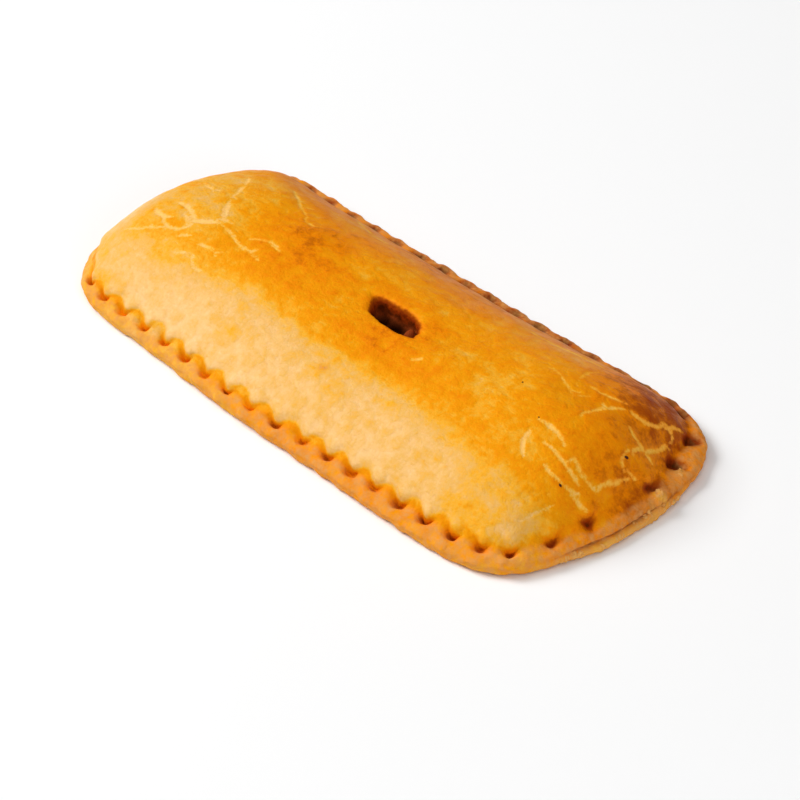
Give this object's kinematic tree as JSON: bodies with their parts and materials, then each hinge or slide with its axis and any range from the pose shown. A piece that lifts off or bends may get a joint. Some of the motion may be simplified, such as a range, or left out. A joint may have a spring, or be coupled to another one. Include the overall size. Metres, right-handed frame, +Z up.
{
  "type": "empanadilla",
  "caption": "Long rectangular baked pastry, domed over its filling, with a toothed crimp all round its rim and a small vent cut in the top crust.",
  "frame": {"origin": "middle of the flat bottom that the pastry rests on", "axes": "+X along the length, towards the end where the two sheets of dough part; -Y towards the near long side; +Z up through the dome"},
  "size_m": [0.1798, 0.0832, 0.0212],
  "materials": {
    "crust": null
  },
  "bodies": {
    "root": {"pastry": "crust"}
  },
  "joints": []
}
